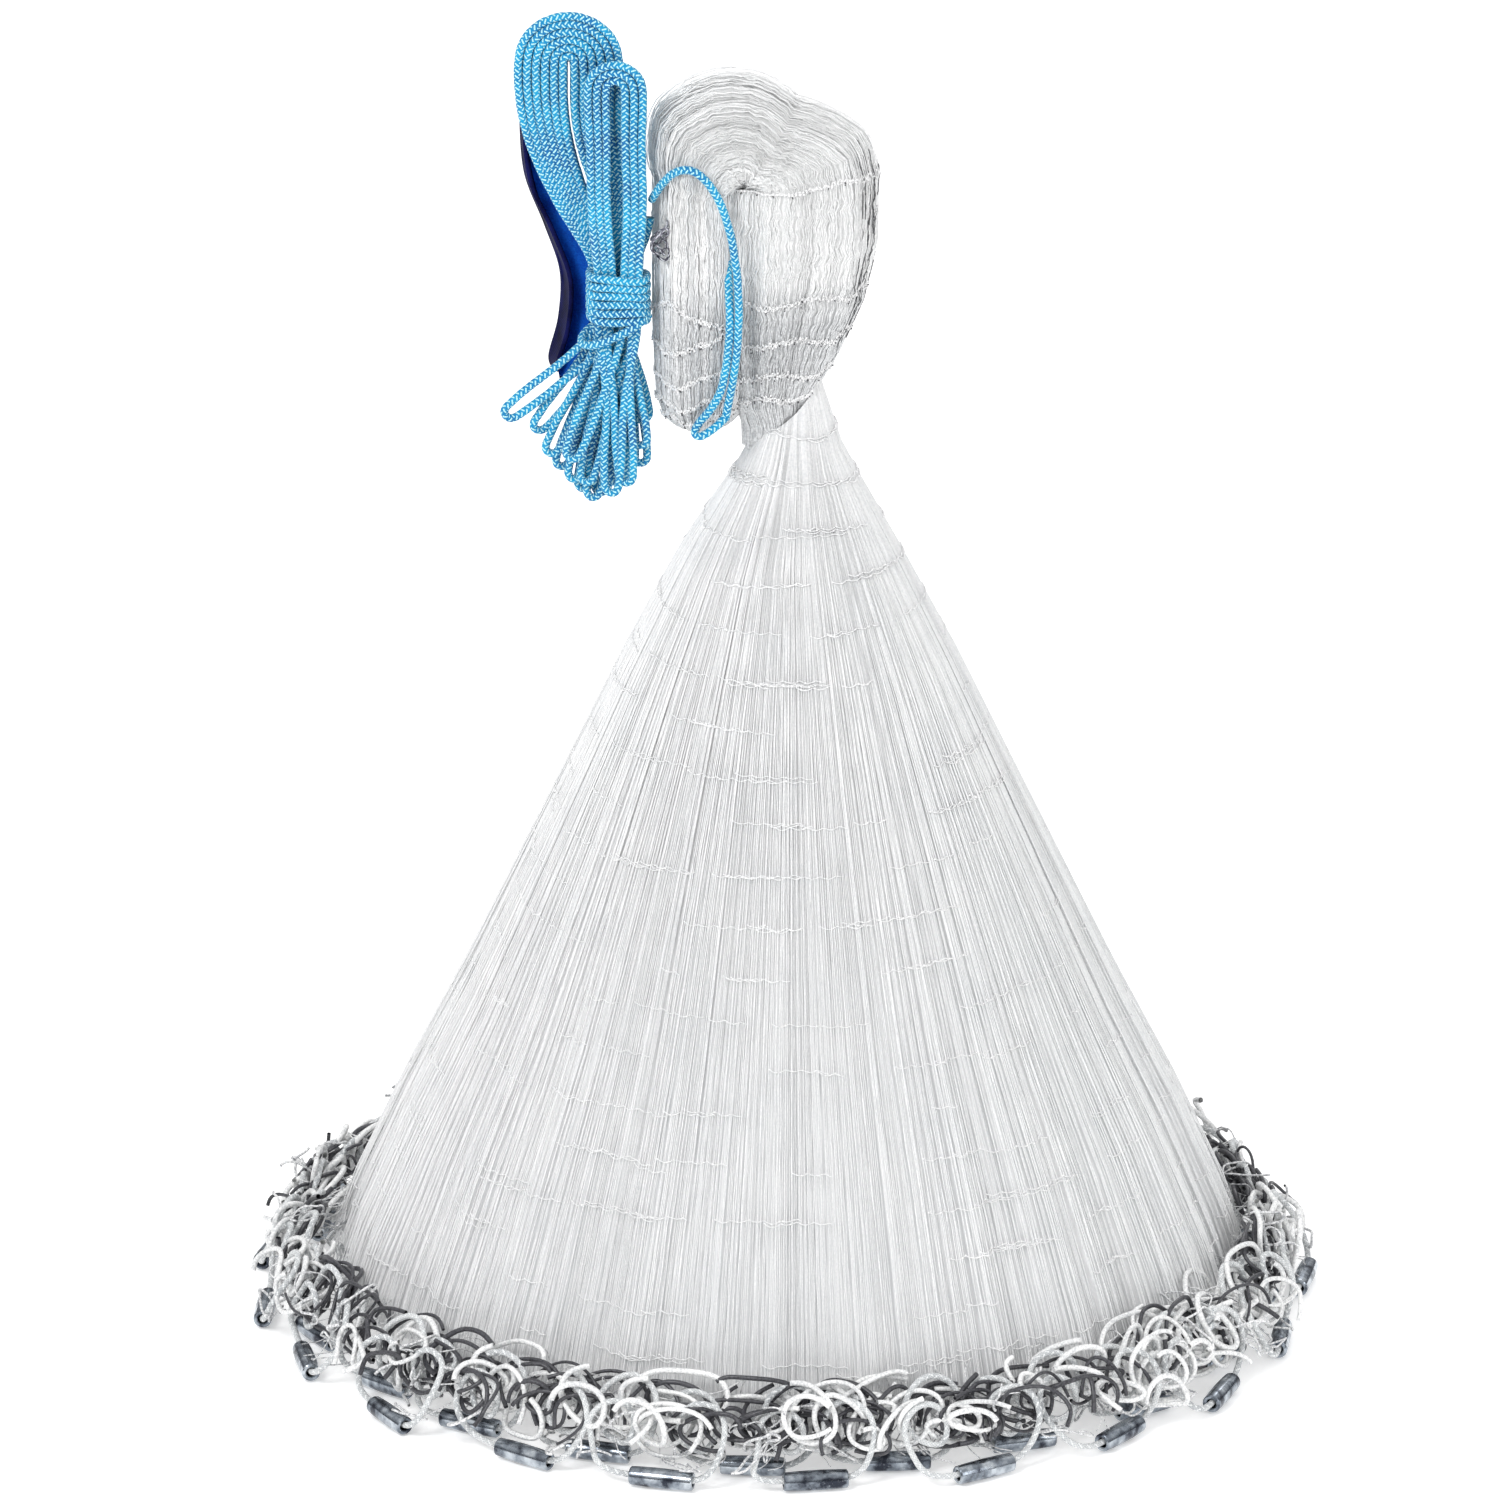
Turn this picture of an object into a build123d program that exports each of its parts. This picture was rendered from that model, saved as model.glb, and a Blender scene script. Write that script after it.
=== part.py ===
from build123d import *

import os
from math import cos, pi, radians, sin, tan

# Hand-thrown cast net, bundled for storage and standing on its ring of sinkers.
# Frame: origin at the centre of the sinker ring on the ground, +Z up through the
# gathered neck, the folded head leaning to -X, millimetres.

# --- driving dimensions -----------------------------------------------------

SINKER_COUNT = 42
SINKER_LENGTH = 30.0
SINKER_DIAMETER = 9.5
SINKER_END_DIAMETER = 8.6
SINKER_BORE = 4.6
SINKER_EDGE = 0.5
OUTER_ROW_RADIUS = 248.0
INNER_ROW_RADIUS = 229.0
ROW_WANDER = 2.0
YAW_WANDER = 14.0

LEAD_LINE_DIAMETER = 3.0
HAND_LINE_DIAMETER = 4.0
TWINE_DIAMETER = 1.2
SELVEDGE_DIAMETER = 3.0

SKIRT_THICKNESS = 4.0
# Outer radius of the hanging netting at each height, from the hem to the neck.
SKIRT_OUTLINE = [(214, 20), (206, 45), (181, 102), (151, 162), (121, 227), (77, 322), (49, 377), (18, 424)]
# Widening of the skirt with each millimetre down, near the hem.
SKIRT_FLARE = (214 - 206) / (45 - 20)
NECK_RADIUS = 14.0
NECK_TOP = 449.5
HEAD_JOIN_HEIGHT = 572.0

HANK_THICKNESS = 14.0
HANK_PLANE_Y = -16.0
WAIST_LEFT = -88.0
WAIST_RIGHT = -65.0
WAIST_LOW = 488.0
WAIST_HIGH = 515.0
STRAP_THICKNESS = 2.2
STRAP_WIDTH = 20.0
STRAP_FRONT_Y = -3.0

STEP_ANGLE = 360.0 / SINKER_COUNT
KNOT_INDEX = 38
BEND_SHARE = 0.45

os.makedirs("parts", exist_ok=True)


def save(node, label):
    """Label a finished piece and write its STEP file."""
    node.part.label = label
    export_step(node.part, f"parts/{label}.step")


def bend_radii(points):
    """Largest tangent-arc radius at each corner of a route."""
    radii = []
    for before, corner, after in zip(points, points[1:], points[2:]):
        run_in = Vector(*corner) - Vector(*before)
        run_out = Vector(*after) - Vector(*corner)
        half_turn = radians(run_in.get_angle(run_out)) / 2
        radii.append(BEND_SHARE * min(run_in.length, run_out.length) / tan(half_turn))
    return radii


def cord_report(name, node, line_length, diameter, radii):
    """Print what a cord's tube measures against its section times its length."""
    ideal = pi * diameter**2 / 4 * line_length
    print(
        f"{name}: length {line_length:.0f} mm, bends {min(radii):.1f} to {max(radii):.1f} mm,"
        f" volume ratio {node.part.volume / ideal:.3f}"
    )


# --- sinkers ----------------------------------------------------------------


def ring_angle(index):
    """Place of a sinker round the ring, a little uneven, in degrees."""
    return index * STEP_ANGLE + 0.9 * sin(2.3 * index)


def ring_frame(angle):
    """Outward and forward unit vectors at an angle round the ring."""
    outward = Vector(cos(radians(angle)), sin(radians(angle)), 0)
    forward = Vector(-sin(radians(angle)), cos(radians(angle)), 0)
    return outward, forward


def sinker_pose(index):
    """Centre and axis direction of one sinker, lying on the ground."""
    outward, forward = ring_frame(ring_angle(index))
    row = OUTER_ROW_RADIUS if index % 2 == 0 else INNER_ROW_RADIUS
    radius = row + ROW_WANDER * sin(1.7 * index + 0.6)
    centre = outward * radius + Vector(0, 0, SINKER_DIAMETER / 2)
    yaw = radians(YAW_WANDER * sin(2.9 * index + 1.1))
    return centre, forward * cos(yaw) + outward * sin(yaw)


HALF_LENGTH = SINKER_LENGTH / 2
BODY_RADIUS = SINKER_DIAMETER / 2
END_RADIUS = SINKER_END_DIAMETER / 2
BORE_RADIUS = SINKER_BORE / 2

for sinker_index in range(SINKER_COUNT):
    centre, axis_direction = sinker_pose(sinker_index)
    with BuildPart() as sinker:
        with BuildSketch(Plane(origin=centre, x_dir=axis_direction, z_dir=(0, 0, 1))):
            with BuildLine():
                Polyline(
                    (-HALF_LENGTH, END_RADIUS - SINKER_EDGE),
                    (-HALF_LENGTH, BORE_RADIUS + SINKER_EDGE),
                    (-HALF_LENGTH + SINKER_EDGE, BORE_RADIUS),
                    (HALF_LENGTH - SINKER_EDGE, BORE_RADIUS),
                    (HALF_LENGTH, BORE_RADIUS + SINKER_EDGE),
                    (HALF_LENGTH, END_RADIUS - SINKER_EDGE),
                    (HALF_LENGTH - SINKER_EDGE, END_RADIUS),
                )
                ThreePointArc(
                    (HALF_LENGTH - SINKER_EDGE, END_RADIUS),
                    (0, BODY_RADIUS),
                    (-HALF_LENGTH + SINKER_EDGE, END_RADIUS),
                )
                Line(
                    (-HALF_LENGTH + SINKER_EDGE, END_RADIUS),
                    (-HALF_LENGTH, END_RADIUS - SINKER_EDGE),
                )
            make_face()
        revolve(axis=Axis(centre, axis_direction))
    save(sinker, f"sinker_{sinker_index + 1:02d}")

# --- lead line, its knot and the hem ties -----------------------------------

# Between two sinkers the slack line curls round twice before it enters the next bore.
# Each curl has a centre ahead of the first sinker and rests just above the sinkers;
# the pair leans in against the hem.
CURL_ANGLES = [[-20, 40, 100, 160, 220, 275], [345, 400, 460, 520, 575]]
CURL_AHEAD = [17.0, 12.0]
CURL_RADIUS = [14.5, 12.5]
CURL_FLOOR = 13.5
CURL_LEAN = 0.4
CURL_WANDER = 2.5
LINE_OUT = 21.0
LINE_IN = 31.0
TIE_POINT = 4
TIE_RING_RADIUS = 3.3
# Downward slope of a tie, from the line to the skirt.
TIE_SLOPE = 20.0
TIE_GAP = 0.4


def slack_route(index):
    """Points of the lead line from one sinker's middle to the next one's."""
    centre, axis_direction = sinker_pose(index)
    next_centre, next_direction = sinker_pose((index + 1) % SINKER_COUNT)
    outward, forward = ring_frame(ring_angle(index))
    across = (next_centre - centre).dot(outward)
    points = [centre, centre + axis_direction * LINE_OUT]
    point_count = sum(len(angles) for angles in CURL_ANGLES)
    for curl, angles in enumerate(CURL_ANGLES):
        curl_radius = CURL_RADIUS[curl] + 1.5 * sin(3.1 * index + 2 * curl)
        ahead = CURL_AHEAD[curl] + 2.0 * sin(4.3 * index + curl)
        for angle in angles:
            step = len(points) - 1
            height = CURL_FLOOR + curl_radius * (1 + sin(radians(angle)))
            lean = CURL_LEAN * max(0, height - 20)
            wander = CURL_WANDER * sin(2.2 * step + 1.7 * index)
            share = across * (0.05 + 0.9 * step / point_count)
            flat_point = centre + forward * (ahead + curl_radius * cos(radians(angle)))
            flat_point += outward * (share - lean + wander)
            points.append(Vector(flat_point.X, flat_point.Y, height))
    points.append(next_centre - next_direction * LINE_IN + Vector(0, 0, 0.8))
    points.append(next_centre)
    return [tuple(point) for point in points]


def tied_run(points):
    """Middle and direction of the run that is tied to the hem."""
    start = Vector(*points[TIE_POINT])
    end = Vector(*points[TIE_POINT + 1])
    return (start + end) * 0.5, (end - start).normalized()


def skirt_radius(height):
    """Outer radius of the skirt at a height near the hem."""
    (low_radius, low), (high_radius, high) = SKIRT_OUTLINE[:2]
    return low_radius + (high_radius - low_radius) * (height - low) / (high - low)


line_length = 0.0
all_radii = []
with BuildPart() as lead_line:
    for line_index in range(SINKER_COUNT):
        route = slack_route(line_index)
        radii = bend_radii(route)
        with BuildLine() as slack:
            FilletPolyline(*route, radius=radii)
        with BuildSketch(Plane(origin=slack.wire() @ 0, z_dir=slack.wire() % 0)):
            Circle(LEAD_LINE_DIAMETER / 2)
        sweep(path=slack.wire())
        line_length += slack.wire().length
        all_radii += radii
save(lead_line, "lead_line")
cord_report("lead_line", lead_line, line_length, LEAD_LINE_DIAMETER, all_radii)

with BuildPart() as lead_line_knot:
    knot_centre, knot_direction = tied_run(slack_route(KNOT_INDEX))
    with Locations(Plane(origin=knot_centre, z_dir=knot_direction)):
        Torus(4.4, 2.4)
save(lead_line_knot, "lead_line_knot")

with BuildPart() as hem_ties:
    for tie_index in range(SINKER_COUNT):
        if tie_index == KNOT_INDEX:
            continue
        tie_centre, tie_direction = tied_run(slack_route(tie_index))
        with Locations(Plane(origin=tie_centre, z_dir=tie_direction)):
            Torus(TIE_RING_RADIUS, TWINE_DIAMETER / 2)
        ring_distance = Vector(tie_centre.X, tie_centre.Y, 0).length
        inward = Vector(-tie_centre.X, -tie_centre.Y, 0).normalized()
        tail_direction = inward * cos(radians(TIE_SLOPE)) - Vector(0, 0, sin(radians(TIE_SLOPE)))
        gap = ring_distance - skirt_radius(tie_centre.Z) - TIE_GAP
        closing = cos(radians(TIE_SLOPE)) + SKIRT_FLARE * sin(radians(TIE_SLOPE))
        tail_start = tie_centre + tail_direction * TIE_RING_RADIUS
        with BuildSketch(Plane(origin=tail_start, z_dir=tail_direction)):
            Circle(TWINE_DIAMETER / 2)
        extrude(amount=gap / closing - TIE_RING_RADIUS)
save(hem_ties, "hem_ties")

# --- netting ----------------------------------------------------------------

with BuildPart() as net_skirt:
    with BuildSketch(Plane.XZ):
        with BuildLine():
            outer = Polyline(*SKIRT_OUTLINE)
            inner = Polyline(*[(radius - SKIRT_THICKNESS, height) for radius, height in SKIRT_OUTLINE])
            Line(outer @ 0, inner @ 0)
            Line(outer @ 1, inner @ 1)
        make_face()
    revolve(axis=Axis.Z)
save(net_skirt, "net_skirt")

with BuildPart() as hem_selvedge:
    with Locations((0, 0, SKIRT_OUTLINE[0][1] - SELVEDGE_DIAMETER)):
        Torus(SKIRT_OUTLINE[0][0] - SKIRT_THICKNESS / 2, SELVEDGE_DIAMETER / 2)
save(hem_selvedge, "hem_selvedge")


def lofted_bundle(sections):
    """Solid through flat ellipses given as height, centre x, half width and half depth."""
    with BuildPart() as bundle:
        for height, middle, half_width, half_depth in sections:
            with BuildSketch(Plane.XY.offset(height)):
                with Locations((middle, 0)):
                    Ellipse(half_width, half_depth)
        loft()
    return bundle


net_neck = lofted_bundle(
    [
        (SKIRT_OUTLINE[-1][1] + 0.5, 0, NECK_RADIUS, NECK_RADIUS),
        (NECK_TOP, -2, NECK_RADIUS, NECK_RADIUS - 1),
    ]
)
save(net_neck, "net_neck")

head_rising_fold = lofted_bundle(
    [
        (NECK_TOP + 0.5, -1, 15, 14),
        (468, 3, 20, 20),
        (495, 8.5, 25, 27),
        (524, 12.5, 28.5, 30),
        (552, 13, 28.5, 30),
        (HEAD_JOIN_HEIGHT, 11.5, 27, 28),
    ]
)
save(head_rising_fold, "head_rising_fold")

head_hanging_fold = lofted_bundle(
    [
        (431, -38, 9, 12),
        (437, -38, 15, 20),
        (452, -38, 18.5, 26),
        (490, -38, 19.5, 28),
        (540, -38, 19.5, 28),
        (HEAD_JOIN_HEIGHT, -38, 18, 24),
    ]
)
save(head_hanging_fold, "head_hanging_fold")

head_crown = lofted_bundle(
    [
        (HEAD_JOIN_HEIGHT + 0.5, -10, 48, 27),
        (585, -14, 46, 26),
        (597, -20, 33, 19),
        (605, -25, 14, 9),
    ]
)
save(head_crown, "head_crown")

with BuildPart() as crown_lashing:
    with Locations((-56.5, -20, 532)):
        Sphere(3.4)
save(crown_lashing, "crown_lashing")

# --- head tie ---------------------------------------------------------------

# The tie leaves the hank, passes over the front of the head between its two folds
# and ends in a knot tucked under the hanging fold.
TIE_ROUTE = [
    (-61, -17, 549),
    (-55, -24, 562),
    (-44, -32, 570),
    (-33, -35, 562),
    (-25, -35.5, 543),
    (-21, -35, 517),
    (-20.5, -34.5, 492),
    (-23, -33, 467),
    (-27, -31, 447),
]
TIE_KNOT_CENTRE = (-31, -28.5, 438)

with BuildPart() as head_tie:
    tie_radii = bend_radii(TIE_ROUTE)
    with BuildLine() as tie_path:
        FilletPolyline(*TIE_ROUTE, radius=tie_radii)
    with BuildSketch(Plane(origin=tie_path.wire() @ 0, z_dir=tie_path.wire() % 0)):
        Circle(HAND_LINE_DIAMETER / 2)
    sweep(path=tie_path.wire())
save(head_tie, "head_tie")
cord_report("head_tie", head_tie, tie_path.wire().length, HAND_LINE_DIAMETER, tie_radii)

with BuildPart() as head_tie_knot:
    with Locations(Location(TIE_KNOT_CENTRE)):
        Sphere(5.0)
    split(bisect_by=Plane(origin=TIE_ROUTE[-1], z_dir=(4, -2.5, 9)).offset(-0.3), keep=Keep.BOTTOM)
save(head_tie_knot, "head_tie_knot")

# --- hand line hank ---------------------------------------------------------

HANK_OUTLINE = [
    (WAIST_RIGHT, WAIST_HIGH),
    (-64, 545),
    (-63.5, 592),
    (-70, 612),
    (-84, 622),
    (-90, 637),
    (-106, 640),
    (-122, 626),
    (-126, 600),
    (-122, 572),
    (-106, 540),
    (WAIST_LEFT, WAIST_HIGH),
    (WAIST_LEFT, WAIST_LOW),
    (-104, 462),
    (-130, 447),
    (-130, 437),
    (-112, 432),
    (-98, 412),
    (-86, 402),
    (-72, 412),
    (-64.5, 430),
    (WAIST_RIGHT, WAIST_LOW),
]

with BuildPart() as hand_line_hank:
    with BuildSketch(Plane.XZ.offset(-HANK_PLANE_Y - HANK_THICKNESS / 2)) as hank_face:
        with BuildLine():
            Polyline(*HANK_OUTLINE, close=True)
        make_face()
        fillet(hank_face.vertices(), radius=3.0)
    extrude(amount=HANK_THICKNESS)
    chamfer(faces().filter_by(Axis.Y).edges(), length=2.0)
save(hand_line_hank, "hand_line_hank")

WRAP_GAP = 0.3
WAIST_MIDDLE = (WAIST_LEFT + WAIST_RIGHT) / 2
WAIST_WIDTH = WAIST_RIGHT - WAIST_LEFT

with BuildPart() as hank_wraps:
    with BuildSketch(Plane.XY.offset(WAIST_LOW + 1)):
        with Locations((WAIST_MIDDLE, HANK_PLANE_Y)):
            RectangleRounded(WAIST_WIDTH + 7, HANK_THICKNESS + 8, 6)
            Rectangle(WAIST_WIDTH + 2 * WRAP_GAP, HANK_THICKNESS + 2 * WRAP_GAP, mode=Mode.SUBTRACT)
    extrude(amount=WAIST_HIGH - WAIST_LOW - 2)
save(hank_wraps, "hank_wraps")

# --- wrist strap ------------------------------------------------------------

STRAP_OUTLINE = [
    (-121, 578),
    (-117, 545),
    (-104, 518),
    (-100, 497),
    (-108, 462),
    (-101, 459),
    (-91, 486),
    (-90, 512),
    (-103, 545),
    (-113, 579),
]

with BuildPart() as wrist_strap:
    with BuildSketch(Plane.XZ.offset(-STRAP_FRONT_Y)) as strap_face:
        with BuildLine():
            Polyline(*STRAP_OUTLINE, close=True)
        make_face()
        fillet(strap_face.vertices(), radius=2.8)
        offset(amount=-STRAP_THICKNESS, mode=Mode.SUBTRACT)
    extrude(amount=-STRAP_WIDTH)
save(wrist_strap, "wrist_strap")

with BuildPart() as strap_hitch:
    with Locations((-84, -1.5, 500)):
        Sphere(3.2)
save(strap_hitch, "strap_hitch")
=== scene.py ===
from math import cos, pi, radians, sin

import bpy
import numpy as np
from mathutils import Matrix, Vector


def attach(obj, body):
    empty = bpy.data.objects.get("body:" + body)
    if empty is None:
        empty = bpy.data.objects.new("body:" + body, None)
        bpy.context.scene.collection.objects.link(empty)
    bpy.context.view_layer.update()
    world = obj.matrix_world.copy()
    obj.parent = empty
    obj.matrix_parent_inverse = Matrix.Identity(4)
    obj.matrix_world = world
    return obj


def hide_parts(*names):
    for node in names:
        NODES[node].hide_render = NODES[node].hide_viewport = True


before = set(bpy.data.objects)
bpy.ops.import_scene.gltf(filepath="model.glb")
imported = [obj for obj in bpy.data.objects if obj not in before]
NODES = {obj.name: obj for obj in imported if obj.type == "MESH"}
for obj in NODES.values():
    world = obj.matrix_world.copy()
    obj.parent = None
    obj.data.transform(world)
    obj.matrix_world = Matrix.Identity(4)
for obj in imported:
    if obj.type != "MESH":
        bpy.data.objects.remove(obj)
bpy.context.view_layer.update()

rng = np.random.default_rng(7)

# --- driving dimensions, in metres, as in the CAD part ------------------------

SINKER_COUNT = 42
SINKER_RADIUS = 0.00475
OUTER_ROW_RADIUS = 0.248
INNER_ROW_RADIUS = 0.229
ROW_WANDER = 0.002
YAW_WANDER = 14.0
STEP_ANGLE = 360.0 / SINKER_COUNT
KNOT_INDEX = 38
LEAD_LINE = 0.003
HAND_LINE = 0.004
HAND_PICK = 0.00095

SKIRT_OUTLINE = [
    (0.214, 0.020), (0.206, 0.045), (0.181, 0.102), (0.151, 0.162),
    (0.121, 0.227), (0.077, 0.322), (0.049, 0.377), (0.0215, 0.424), (0.0085, 0.462),
]
# Sideways lean of the skirt's axis at each height.
SKIRT_LEAN = [(0.0035, 0.377), (0.0060, 0.424), (0.0070, 0.462)]
MESH_ROW = 0.0205

SCENE = bpy.context.scene

# --- camera and light --------------------------------------------------------

CAMERA_LENS = 306.0
CAMERA_ELEVATION = 20.0
CAMERA_DISTANCE = 6.0
CAMERA_TARGET = Vector((-0.0155, 0.0, 0.2725))
LAMP_TARGET = Vector((0, 0, 0.25))
# Heights, as shares of the sky, where the dim horizon ends and the full sky begins.
HORIZON_END, HORIZON_COLOUR = 0.12, (0.14, 0.15, 0.17, 1)
SKY_START, SKY_COLOUR = 0.50, (1.0, 1.0, 1.0, 1)
SKY_STRENGTH = 0.92


def make_camera():
    """Long lens from the front, a little above, framing the bundle as a product shot."""
    data = bpy.data.cameras.new("camera")
    data.lens = CAMERA_LENS
    data.sensor_width = 36.0
    data.clip_end = 80.0
    camera = bpy.data.objects.new("camera", data)
    SCENE.collection.objects.link(camera)
    elevation = radians(CAMERA_ELEVATION)
    camera.location = CAMERA_TARGET + CAMERA_DISTANCE * Vector((0, -cos(elevation), sin(elevation)))
    camera.rotation_euler = (pi / 2 - elevation, 0, 0)
    SCENE.camera = camera


def area_light(name, place, size, power):
    data = bpy.data.lights.new(name, "AREA")
    data.shape = "RECTANGLE"
    data.size, data.size_y = size
    data.energy = power
    lamp = bpy.data.objects.new(name, data)
    SCENE.collection.objects.link(lamp)
    lamp.location = place
    lamp.rotation_euler = (LAMP_TARGET - Vector(place)).to_track_quat("-Z", "Y").to_euler()


def make_studio():
    """White studio, dimmer at the horizon so that metal has something dark to mirror."""
    SCENE.view_settings.view_transform = "Standard"
    world = bpy.data.worlds.new("studio")
    world.use_nodes = True
    tree = world.node_tree
    place = tree.nodes.new("ShaderNodeTexCoord")
    split = tree.nodes.new("ShaderNodeSeparateXYZ")
    ramp = tree.nodes.new("ShaderNodeValToRGB")
    tree.links.new(place.outputs["Generated"], split.inputs[0])
    tree.links.new(split.outputs["Z"], ramp.inputs["Fac"])
    stops = ((HORIZON_END, HORIZON_COLOUR), (SKY_START, SKY_COLOUR))
    for element, (position, colour) in zip(ramp.color_ramp.elements, stops):
        element.position = position
        element.color = colour
    background = tree.nodes["Background"]
    tree.links.new(ramp.outputs["Color"], background.inputs["Color"])
    background.inputs["Strength"].default_value = SKY_STRENGTH
    SCENE.world = world
    area_light("key", (-1.1, -1.7, 1.9), (0.7, 0.7), 28)
    area_light("fill", (1.6, -1.4, 0.8), (0.6, 1.2), 8)
    area_light("rim", (0.5, 1.8, 1.6), (1.2, 0.8), 8)


# --- mesh helpers -------------------------------------------------------------


def mesh_object(name, points, faces, body, material, uv=None):
    """Mesh piece from arrays, riding on a body and taking a slot's finish."""
    mesh = bpy.data.meshes.new(name)
    faces = faces if isinstance(faces, list) else faces.tolist()
    mesh.from_pydata(np.asarray(points).tolist(), [], faces)
    if uv is not None:
        layer = mesh.uv_layers.new(name="UVMap")
        layer.data.foreach_set("uv", np.asarray(uv, np.float32).ravel())
    mesh.polygons.foreach_set("use_smooth", [True] * len(mesh.polygons))
    mesh.update()
    piece = bpy.data.objects.new(name, mesh)
    SCENE.collection.objects.link(piece)
    mesh.materials.append(material)
    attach(piece, body)
    return piece


def grid_faces(rows, columns, closed):
    """Quads of a grid of rows by columns, closed round the columns or open."""
    across = np.arange(columns if closed else columns - 1)
    row, column = np.meshgrid(np.arange(rows - 1), across, indexing="ij")
    after = (column + 1) % columns
    a = row * columns + column
    b = row * columns + after
    return np.stack([a, b, b + columns, a + columns], -1).reshape(-1, 4)


def smooth_route(name, points):
    """Points along the smooth line of a cord's route: a NURBS spline with no bevel."""
    curve = bpy.data.curves.new(name + "_route", "CURVE")
    curve.dimensions = "3D"
    curve.resolution_u = 10
    spline = curve.splines.new("NURBS")
    spline.points.add(len(points) - 1)
    for knot, place in zip(spline.points, points):
        knot.co = (*place, 1)
    spline.order_u = 3
    spline.use_endpoint_u = True
    holder = bpy.data.objects.new(name + "_route", curve)
    SCENE.collection.objects.link(holder)
    mesh = bpy.data.meshes.new_from_object(holder.evaluated_get(bpy.context.evaluated_depsgraph_get()))
    line = np.array([v.co[:] for v in mesh.vertices])
    bpy.data.objects.remove(holder)
    bpy.data.curves.remove(curve)
    bpy.data.meshes.remove(mesh)
    return line


def resample(line, step):
    """The same line with points a fixed step apart."""
    gaps = np.linalg.norm(np.diff(line, axis=0), axis=1)
    along = np.concatenate([[0], np.cumsum(gaps)])
    count = max(4, int(round(along[-1] / step)) + 1)
    at = np.linspace(0, along[-1], count)
    return np.stack([np.interp(at, along, line[:, k]) for k in range(3)], 1), at


def carried_frames(line):
    """Two unit normals at each point, carried along the line without twist."""
    tangent = np.gradient(line, axis=0)
    tangent /= np.linalg.norm(tangent, axis=1)[:, None]
    first = np.zeros_like(line)
    start = np.cross(tangent[0], (0.3, 0.2, 0.9))
    first[0] = start / np.linalg.norm(start)
    for i in range(1, len(line)):
        side = first[i - 1] - tangent[i] * first[i - 1].dot(tangent[i])
        first[i] = side / np.linalg.norm(side)
    return first, np.cross(tangent, first)


# Depth of a braid's relief, as a share of the cord's radius.
BRAID_RELIEF = 0.10


def braid_height(u, v, carriers):
    """Relief of a round braid: two families of strands crossing over and under."""
    one = u + v * carriers
    two = u - v * carriers
    over = (np.floor(one) + np.floor(two)) % 2 < 1
    ridge = np.where(over, np.sin(pi * (one % 1.0)), np.sin(pi * (two % 1.0)))
    return ridge**0.7


def braided_tube(name, line, diameter, pitch, carriers, sides, step, body, material):
    """Cord along a line with the relief of its braid; UV is picks along and share round."""
    path, at = resample(line, step)
    first, second = carried_frames(path)
    turn = np.arange(sides) / sides
    u = (at / pitch)[:, None]
    height = braid_height(u, turn[None, :], carriers)
    radius = diameter / 2 * (1 - BRAID_RELIEF + BRAID_RELIEF * height)
    angle = 2 * pi * turn[None, :, None]
    ring = np.cos(angle) * first[:, None] + np.sin(angle) * second[:, None]
    points = (path[:, None] + ring * radius[..., None]).reshape(-1, 3)
    faces = grid_faces(len(path), sides, True)
    row, column = np.meshgrid(np.arange(len(path) - 1), np.arange(sides), indexing="ij")
    corner_u = np.stack([u[row, 0], u[row, 0], u[row + 1, 0], u[row + 1, 0]], -1)
    corner_v = np.stack([column, column + 1, column + 1, column], -1) / sides
    uv = np.stack([corner_u, corner_v], -1).reshape(-1, 2)
    caps = [list(range(sides))[::-1], [len(points) - sides + k for k in range(sides)]]
    uv = np.concatenate([uv, np.zeros((2 * sides, 2))])
    return mesh_object(name, points, faces.tolist() + caps, body, material, uv), path


def strand_mesh(lines, radius, sides, outward):
    """Points and faces of many thin tubes; lines is strands by points by 3."""
    tangent = np.gradient(lines, axis=1)
    tangent /= np.linalg.norm(tangent, axis=2)[..., None] + 1e-12
    first = outward - tangent * (outward * tangent).sum(2)[..., None]
    first /= np.linalg.norm(first, axis=2)[..., None] + 1e-12
    second = np.cross(tangent, first)
    angle = 2 * pi * np.arange(sides) / sides
    width = np.broadcast_to(np.asarray(radius, float), lines.shape[:2])[..., None, None]
    ring = np.cos(angle)[:, None] * first[:, :, None] + np.sin(angle)[:, None] * second[:, :, None]
    points = (lines[:, :, None] + ring * width).reshape(-1, 3)
    one = grid_faces(lines.shape[1], sides, True)
    per_strand = lines.shape[1] * sides
    faces = (one[None] + np.arange(len(lines))[:, None, None] * per_strand).reshape(-1, 4)
    return points, faces


def knot_mesh(places, size):
    """Points and faces of small eight-sided knots."""
    shape = np.array([(1, 0, 0), (-1, 0, 0), (0, 1, 0), (0, -1, 0), (0, 0, 1), (0, 0, -1)], float)
    sides = np.array(
        [(0, 2, 4), (2, 1, 4), (1, 3, 4), (3, 0, 4), (2, 0, 5), (1, 2, 5), (3, 1, 5), (0, 3, 5)]
    )
    size = np.broadcast_to(np.asarray(size, float), (len(places),))
    points = (places[:, None] + shape[None] * size[:, None, None]).reshape(-1, 3)
    faces = (sides[None] + np.arange(len(places))[:, None, None] * len(shape)).reshape(-1, 3)
    return points, faces


def joined(*parts):
    """Several meshes' points and faces as one."""
    points, faces, start = [], [], 0
    for part_points, part_faces in parts:
        points.append(part_points)
        faces += (np.asarray(part_faces) + start).tolist()
        start += len(part_points)
    return np.concatenate(points), faces


# --- materials ----------------------------------------------------------------


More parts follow.
